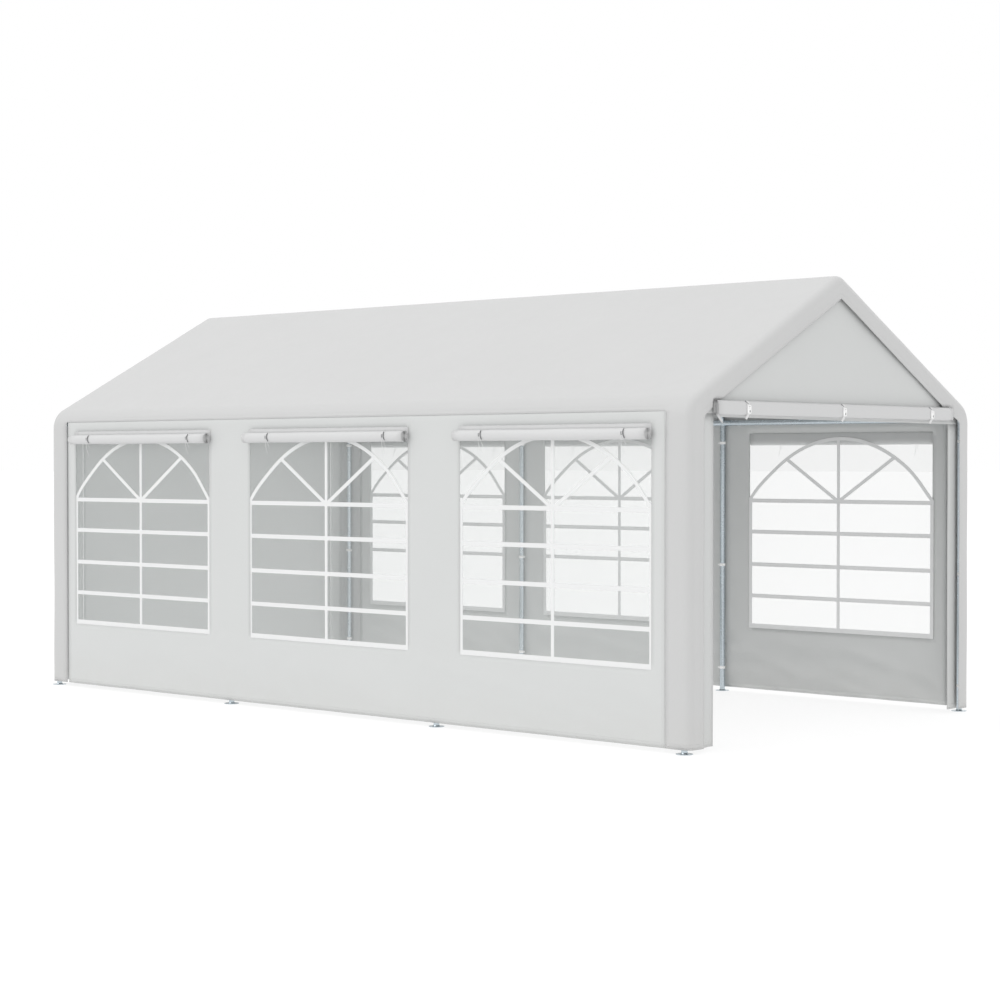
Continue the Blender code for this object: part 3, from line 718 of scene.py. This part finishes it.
# %% A round tube of changing width
def carried_radii(path, radii, sides):
    """A round tube along a path, with its own radius at each point."""
    tangent = np.gradient(path, axis=0)
    tangent /= np.linalg.norm(tangent, axis=1, keepdims=True)
    up = np.where(np.abs(tangent[:, 2:]) > 0.9, (1.0, 0.0, 0.0), (0.0, 0.0, 1.0))
    side = np.cross(tangent, up)
    side /= np.linalg.norm(side, axis=1, keepdims=True)
    up = np.cross(side, tangent)
    turn = np.arange(sides) * 2 * np.pi / sides
    ring = np.cos(turn)[:, None] * side[:, None] + np.sin(turn)[:, None] * up[:, None]
    return patch(path[:, None] + radii[:, None, None] * ring, around=True, ends=True)

# %% Blind ties
STRING_ENDS = ((-0.010, 0.070), (0.008, 0.026))      # each hanging end's shift along the roll, and its length
STRING_SPREAD, STRING_START = 0.010, 0.024


def blind_tie(x, sign, roll_z, seed):
    """The string and tape of one tie, and the grey strips of painted shade beside the tape, at this place along the
    wall.
    """
    seeded = np.random.default_rng(seed)
    ring = BLIND_R - 0.0016

    def bar(turn, shift, out, profile, closed=False):
        """A bar round the roll at these angles, moved along it by shift and standing out."""
        outwards = np.stack([0 * turn, sign * np.cos(turn), np.sin(turn)], axis=1)
        path = (x, sign * BLIND_Y, roll_z) + outwards * out + np.stack([shift + 0 * turn, 0 * turn, 0 * turn], axis=1)
        return carried(path, profile, outwards, closed=closed)

    white = [bar(np.linspace(0, 2 * np.pi, 29)[:-1], 0.0, ring, round_profile(0.0011, 6), closed=True)]
    for shift, length in STRING_ENDS:
        length += STRING_SPREAD * seeded.random()
        fall = np.linspace(0, 1, 9)
        path = np.stack([x + shift + 0.002 * np.sin(2.2 * fall + seed),
                         sign * (BLIND_Y + ring * (1 - 0.7 * fall ** 2)),
                         roll_z - 0.012 - (STRING_START + length) * fall], axis=1)
        white.append(carried(path, round_profile(0.0012, 6), (0, 1, 0)))
    down = np.radians(np.linspace(52, -44, 13))
    slant = np.linspace(-0.004, 0.005, 13)
    white.append(bar(down, slant, BLIND_R + 0.0012, strip_profile(0.0050, 0.0016)))
    # Grey strips on each side of the tape: painted shade along its edges.
    tie_shade = [bar(down, slant + 0.0065, BLIND_R + 0.0012, round_profile(0.0024, 8)),
            bar(down[4:9], slant[4:9] - 0.0065, BLIND_R + 0.0012, round_profile(0.0026, 8))]
    return white, tie_shade


for side, sign in (("near", -1), ("far", 1)):
    for number, places in TIES.items():
        ties = [blind_tie(place, sign, BLIND_ZS[side], 10 * number + k + (sign > 0) * 5)
                for k, place in enumerate(places)]
        for label, finish, parts in (("ties", tape, [p for white, tie_shade in ties for p in white]),
                                     ("tie_shades", painted_shade_grey, [p for white, tie_shade in ties for p in tie_shade])):
            make_piece(f"blind_{label}_{side}_{number}", parts, finish, solid=True)

# %% [markdown]
# ## The gable panels
# Both gables have the same panel: a triangle that fills the roof's end and a narrow strip down
# each side of the doorway. Its grid runs across the tent, with lines on the doorway's edges,
# and up it. Above the doorway the rows are squeezed under the slope of the roof, and the cells
# in the doorway are left out. At the rear a closed door hangs in it.

# %% Gable grid
DOOR_Y, DOOR_TOP, FLAP_Y = (-1.262, 1.306), 1.9245, 1.43
PANEL_X, PANEL_PEAK, PANEL_ROUND = 2.9780, 2.8157, 0.0822
panel_y = lines_between([-FLAP_Y, DOOR_Y[0] - HEM_WIDTH, DOOR_Y[0], -0.0386, 0, 0.0386,
                         DOOR_Y[1], DOOR_Y[1] + HEM_WIDTH, FLAP_Y], 0.045)
lower = lines_between([HEM_Z, HEM_Z + HEM_WIDTH, DOOR_TOP], 0.06)
upper = np.linspace(0, 1, 18)[1:]
slopes = PANEL_PEAK - np.abs(panel_y) * math.tan(PITCH)
ridge = PANEL_PEAK - PANEL_ROUND / math.cos(PITCH) + np.sqrt(np.maximum(PANEL_ROUND ** 2 - panel_y ** 2, 0))
panel_tops = np.where(np.abs(panel_y) < PANEL_ROUND * math.sin(PITCH), ridge, slopes)
door_tops = DOOR_TOP - 0.0042 * panel_y + 0.020 * step(-panel_y, 1.225, 1.262)
panel_z = np.concatenate([HEM_Z + (lower[None, :] - HEM_Z) * ((door_tops - HEM_Z) / (DOOR_TOP - HEM_Z))[:, None],
                          door_tops[:, None] + (panel_tops - door_tops)[:, None] * upper[None, :]], axis=1)


def panel_points(end, seed):
    """The gable panel's place: x = end * (2.978 + bulge), with faint folds down the strips.

    The cloth comes out to lie close under the border, 8 mm on the gable and 10 mm on the near strips.
    """
    y = np.broadcast_to(panel_y[:, None], panel_z.shape)
    under = door_tops[:, None] - panel_z
    bulge = 0.0012 * step(under, 0.0, 0.4) * ripples(3 * y, panel_z, 0.8, seed) * step(np.abs(y), 1.2, 1.3)
    taut = step(panel_z, 2.05, 2.2) * step(panel_tops[:, None] - panel_z, 0.0, 0.15)
    bulge = np.maximum(bulge + 0.0016 * taut * ripples(y, panel_z, 0.6, seed + 1), -0.0006)
    bulge += np.maximum(0.008 * step(panel_z, 2.03, 2.13), 0.010 * step(-y, 1.315, 1.355))
    edge = np.where(under > 0, np.minimum(np.abs(y - DOOR_Y[0]), np.abs(y - DOOR_Y[1])), 9)
    edge = np.where((y > DOOR_Y[0]) & (y < DOOR_Y[1]), np.abs(under), np.minimum(edge, 9))
    edge = np.minimum.reduce([edge, panel_z - HEM_Z, FLAP_Y - np.abs(y) + 0.001])
    return np.stack([end * (PANEL_X + bulge), y, panel_z], axis=-1), edge


panel_columns = [int(np.argmin(np.abs(panel_y - y))) for y in DOOR_Y]
for name, end, seed in (("front", 1, 51), ("rear", -1, 53)):
    points, edge = panel_points(end, seed)
    for part, cut, low, high in (("gable", slice(None), len(lower) - 1, None),
                                 ("flap_near", slice(0, panel_columns[0] + 1), 0, len(lower)),
                                 ("flap_far", slice(panel_columns[1], None), 0, len(lower))):
        grid, hem = points[cut, low:high], edge[cut, low:high]
        panel = make_piece(f"{part}_{name}", [patch(grid, turn=end < 0, flat=grid[..., 1:], edge=hem)],
                           gable_sheeting, [f"end_panel_{name}"], CLOTH)

# %% Rear door
door_y = lines_between([DOOR_Y[0] + 0.003, DOOR_Y[0] + 0.037, DOOR_Y[1] - 0.037, DOOR_Y[1] - 0.003], 0.05)
door_z = lines_between([HEM_Z, HEM_Z + HEM_WIDTH, DOOR_TOP - 0.007], 0.05)
yy, zz = np.meshgrid(door_y, door_z, indexing="ij")
free = step(np.minimum(yy - door_y[0], door_y[-1] - yy), 0, 0.2) * step(DOOR_TOP - zz, 0, 0.3)
bulge = free * (0.0035 * folds(yy, 0.5 * zz, 0.7, 61, 0.25) + 0.0012 * ripples(yy, zz, 0.5, 62))
rear_points = np.stack([-(PANEL_X + bulge), yy, zz], axis=-1)
rear_edge = np.minimum.reduce([yy - door_y[0], door_y[-1] - yy, zz - HEM_Z])
rear = make_piece("door_rear", [patch(rear_points, turn=True, flat=rear_points[..., 1:], edge=rear_edge)],
                  wall_sheeting, ["rear_door"], CLOTH)

# %% [markdown]
# ## The rolled door
# The front door is rolled up to the top of its doorway, pressed flat against the panel and
# held by three straps. It is wound the same way as the blinds, along y instead of x, and drawn
# in a little under each strap. Its turns end unevenly, and one corner of the sheet hangs from
# the left end of the roll.

# %% Rolled door
STRAP_YS = (-0.986, 0.012, 1.030)
ROLL_BACK, ROLL_DEEP = 2.9821, 0.0428
roll_r, roll_x = ROLL_DEEP / 2, ROLL_BACK + ROLL_DEEP / 2
flank = (ROLL_TALL - ROLL_DEEP) / 2
roll_middle, roll_length = sum(ROLL_ENDS) / 2, ROLL_ENDS[1] - ROLL_ENDS[0]
points, flat, turns, pitch = wound(roll_length, 1.90, roll_r, 0.0018, math.radians(-60), 28, 71, flank=flank,
                                   pinches=[(roll_middle - s, 0.002) for s in STRAP_YS], fray=0.0035)
roll = np.stack([points[..., 1], -points[..., 0], points[..., 2]], axis=-1) + (roll_x, roll_middle, ROLL_Z)
door = make_piece("door_rolled", [patch(roll, turn=False, flat=flat)], door_sheeting_with_painted_shade,
                  ["door_roll"], 0.0004)
print("door:", round(turns, 1), "turns, pitch", round(pitch * 1000, 2), "mm")

fall, across = np.meshgrid(np.linspace(0, 1, 15), np.linspace(-1, 1, 7), indexing="ij")
tip = np.stack([roll_x + 0.008 + 0.003 * np.cos(2 * across),
                -1.2686 + 0.053 * fall + across * 0.0135 * (1.02 - fall ** 6),
                ROLL_Z - 0.034 - 0.056 * fall], axis=-1)
corner = make_piece("door_corner", [patch(tip, flat=tip[..., 1:])], door_sheeting_with_painted_shade, thickness=0.0006)

# %% Straps with buckles
def strap_path(turn, place, out):
    """Points round the roll at these angles, this far outside it, and the way outwards."""
    x, z = oval(roll_r + out, turn, flank)
    path = np.stack([roll_x + x, place + 0 * turn, ROLL_Z + z], axis=1)
    return path, np.stack([np.cos(turn), 0 * turn, np.sin(turn)], axis=1)


def straight(x, y, z):
    """A path of two points. Each of x, y and z is one value or a pair."""
    return np.stack(np.broadcast_arrays(x, y, z, np.zeros(2))[:3], axis=1)


LOOP_WEBBING, TAIL_WEBBING = (0.025, 0.0016), (0.017, 0.0014)       # width and thickness
BUCKLE_HALF = 0.0140
for number, place in enumerate(STRAP_YS, start=1):
    loop, outwards = strap_path(np.linspace(0, 2 * np.pi, 49)[:-1], place, -0.0006)
    parts = [carried(loop, strip_profile(*LOOP_WEBBING), outwards, closed=True)]
    fall = np.linspace(0, 1, 11)
    tail = np.stack([roll_x + roll_r + 0.0022 - 0.010 * fall ** 2, place + 0.012 - 0.026 * fall ** 1.5,
                     ROLL_Z - 0.006 - 0.056 * fall], axis=1)
    parts.append(carried(tail, strip_profile(*TAIL_WEBBING), (1, 0, 0)))
    make_piece(f"roll_strap_{number}", parts, tape, [f"door_strap_{number}"], solid=True)
    front_x, place = roll_x + roll_r + 0.0030, place + 0.007
    lobe = np.linspace(0, 2 * np.pi, 33)[:-1]
    across = BUCKLE_HALF * np.sign(np.cos(lobe)) * np.abs(np.cos(lobe)) ** 0.4
    lift = 0.0225 * np.sign(np.sin(lobe)) * np.abs(np.sin(lobe)) ** 0.4
    frame_path = np.stack([front_x + 0 * lobe, place + across, ROLL_Z - 0.005 + lift], axis=1)
    white = [carried(frame_path, round_profile(0.0036, 8), (1, 0, 0), closed=True)]
    for height in (-0.003, 0.006):
        bar = straight(front_x, place + np.array([-BUCKLE_HALF, BUCKLE_HALF]), ROLL_Z + height)
        white.append(carried(bar, strip_profile(0.0075, 0.0044), (1, 0, 0)))
    block = straight(front_x, place - 0.0065, ROLL_Z - 0.007 - np.array([0.0, 0.018]))
    white.append(carried(block, strip_profile(0.0110, 0.0040), (1, 0, 0)))
    make_piece(f"roll_buckle_{number}", white, plastic, solid=True)
    # Two dark grey strips here are painted shade: one in the buckle's lower hole, and one as the shadow line at the
    # top of the strap.
    hole_shade = straight(front_x - 0.0004, place + 0.0055, ROLL_Z - 0.011 - np.array([0.0, 0.012]))
    slit_z = ROLL_Z + ROLL_TALL / 2 - np.array([0.002, 0.018])
    gap_shade = straight(roll_x + roll_r * np.array([0.55, 0.99]) + 0.0012, place + np.array([-0.028, -0.008]), slit_z)
    make_piece(f"buckle_shade_{number}", [carried(hole_shade, strip_profile(0.0070, 0.0030), (1, 0, 0)),
                                          carried(gap_shade, strip_profile(0.0048, 0.0012), (1, 0, 0))],
               painted_shade_grey, solid=True)

# %% [markdown]
# ## The steel
# The frame is galvanised tube with a thin clear coat: a cool grey with a soft, slightly
# blotchy shine. Its shapes come from the measured model. What the model leaves out is small:
# the bands that tie the walls to the legs, the screws of the fittings and the weld at each
# foot.

# %% Galvanised finish
steel, tree, shader = start_finish("galvanised_steel", (0.56, 0.62, 0.66), 0.25, Metallic=1.0)
place = place_on(tree)
spangle = add_node(tree, "TexVoronoi", {"Vector": place, "Scale": 55.0}).outputs["Distance"]
drawn = noise(tree, place, 18.0, 4.0)
tree.links.new(blended(tree, drawn, (0.53, 0.59, 0.63), (0.59, 0.65, 0.69)), shader.inputs["Base Color"])
tree.links.new(add_node(tree, "MapRange", {"Value": spangle, "To Min": 0.22, "To Max": 0.29}).outputs[0],
               shader.inputs["Roughness"])
tree.links.new(bumped(tree, [(drawn, 0.0003, 0.06)]), shader.inputs["Normal"])
for name, node in nodes.items():
    if name.startswith(("leg_", "rafter_", "eave_rail", "ridge_rail")):
        node.data.materials.clear()
        node.data.materials.append(steel)

# %% Bands, welds and screws
STATIONS = (-2.955, -0.985, 0.985, 2.955)
for side, sign in (("near", -1), ("far", 1)):
    bands, welds, screws = [], [], []
    for x in STATIONS:
        for height in (0.17, 0.92, 1.807):
            rise = np.array([-1, -0.85, 0.85, 1]) * 0.010
            centre = np.stack([np.full(4, x), np.full(4, sign * 1.498), height + rise], axis=1)
            bands.append(carried_radii(centre, np.array([0.0206, 0.0228, 0.0228, 0.0206]), 24))
            knob = np.linspace(-1, 1, 7)
            along = np.stack([x + (0.028 + 0.010 * knob) * (-1 if x > 0 else 1), np.full(7, sign * 1.495),
                              np.full(7, height)], axis=1)
            bands.append(carried_radii(along, 0.0065 * np.sqrt(np.clip(1.1 - knob ** 2, 0, 1)), 10))
        rise = np.array([0.0043, 0.0055, 0.0085, 0.0115])
        centre = np.stack([np.full(4, x), np.full(4, sign * 1.5), rise], axis=1)
        welds.append(carried_radii(centre, np.array([0.0245, 0.0238, 0.0212, 0.0196]), 24))
        for height in (1.842, 1.884):
            out = np.array([0.0180, 0.0210, 0.0228, 0.0236])
            path = np.stack([np.full(4, x), sign * (1.5 - out), np.full(4, height)], axis=1)
            screws.append(carried_radii(path, np.array([0.0052, 0.0052, 0.0042, 0.0022]), 10))
    make_piece(f"leg_bands_{side}", bands, plastic, solid=True)
    make_piece(f"foot_welds_{side}", welds, steel, solid=True)
    make_piece(f"fitting_screws_{side}", screws, steel, solid=True)
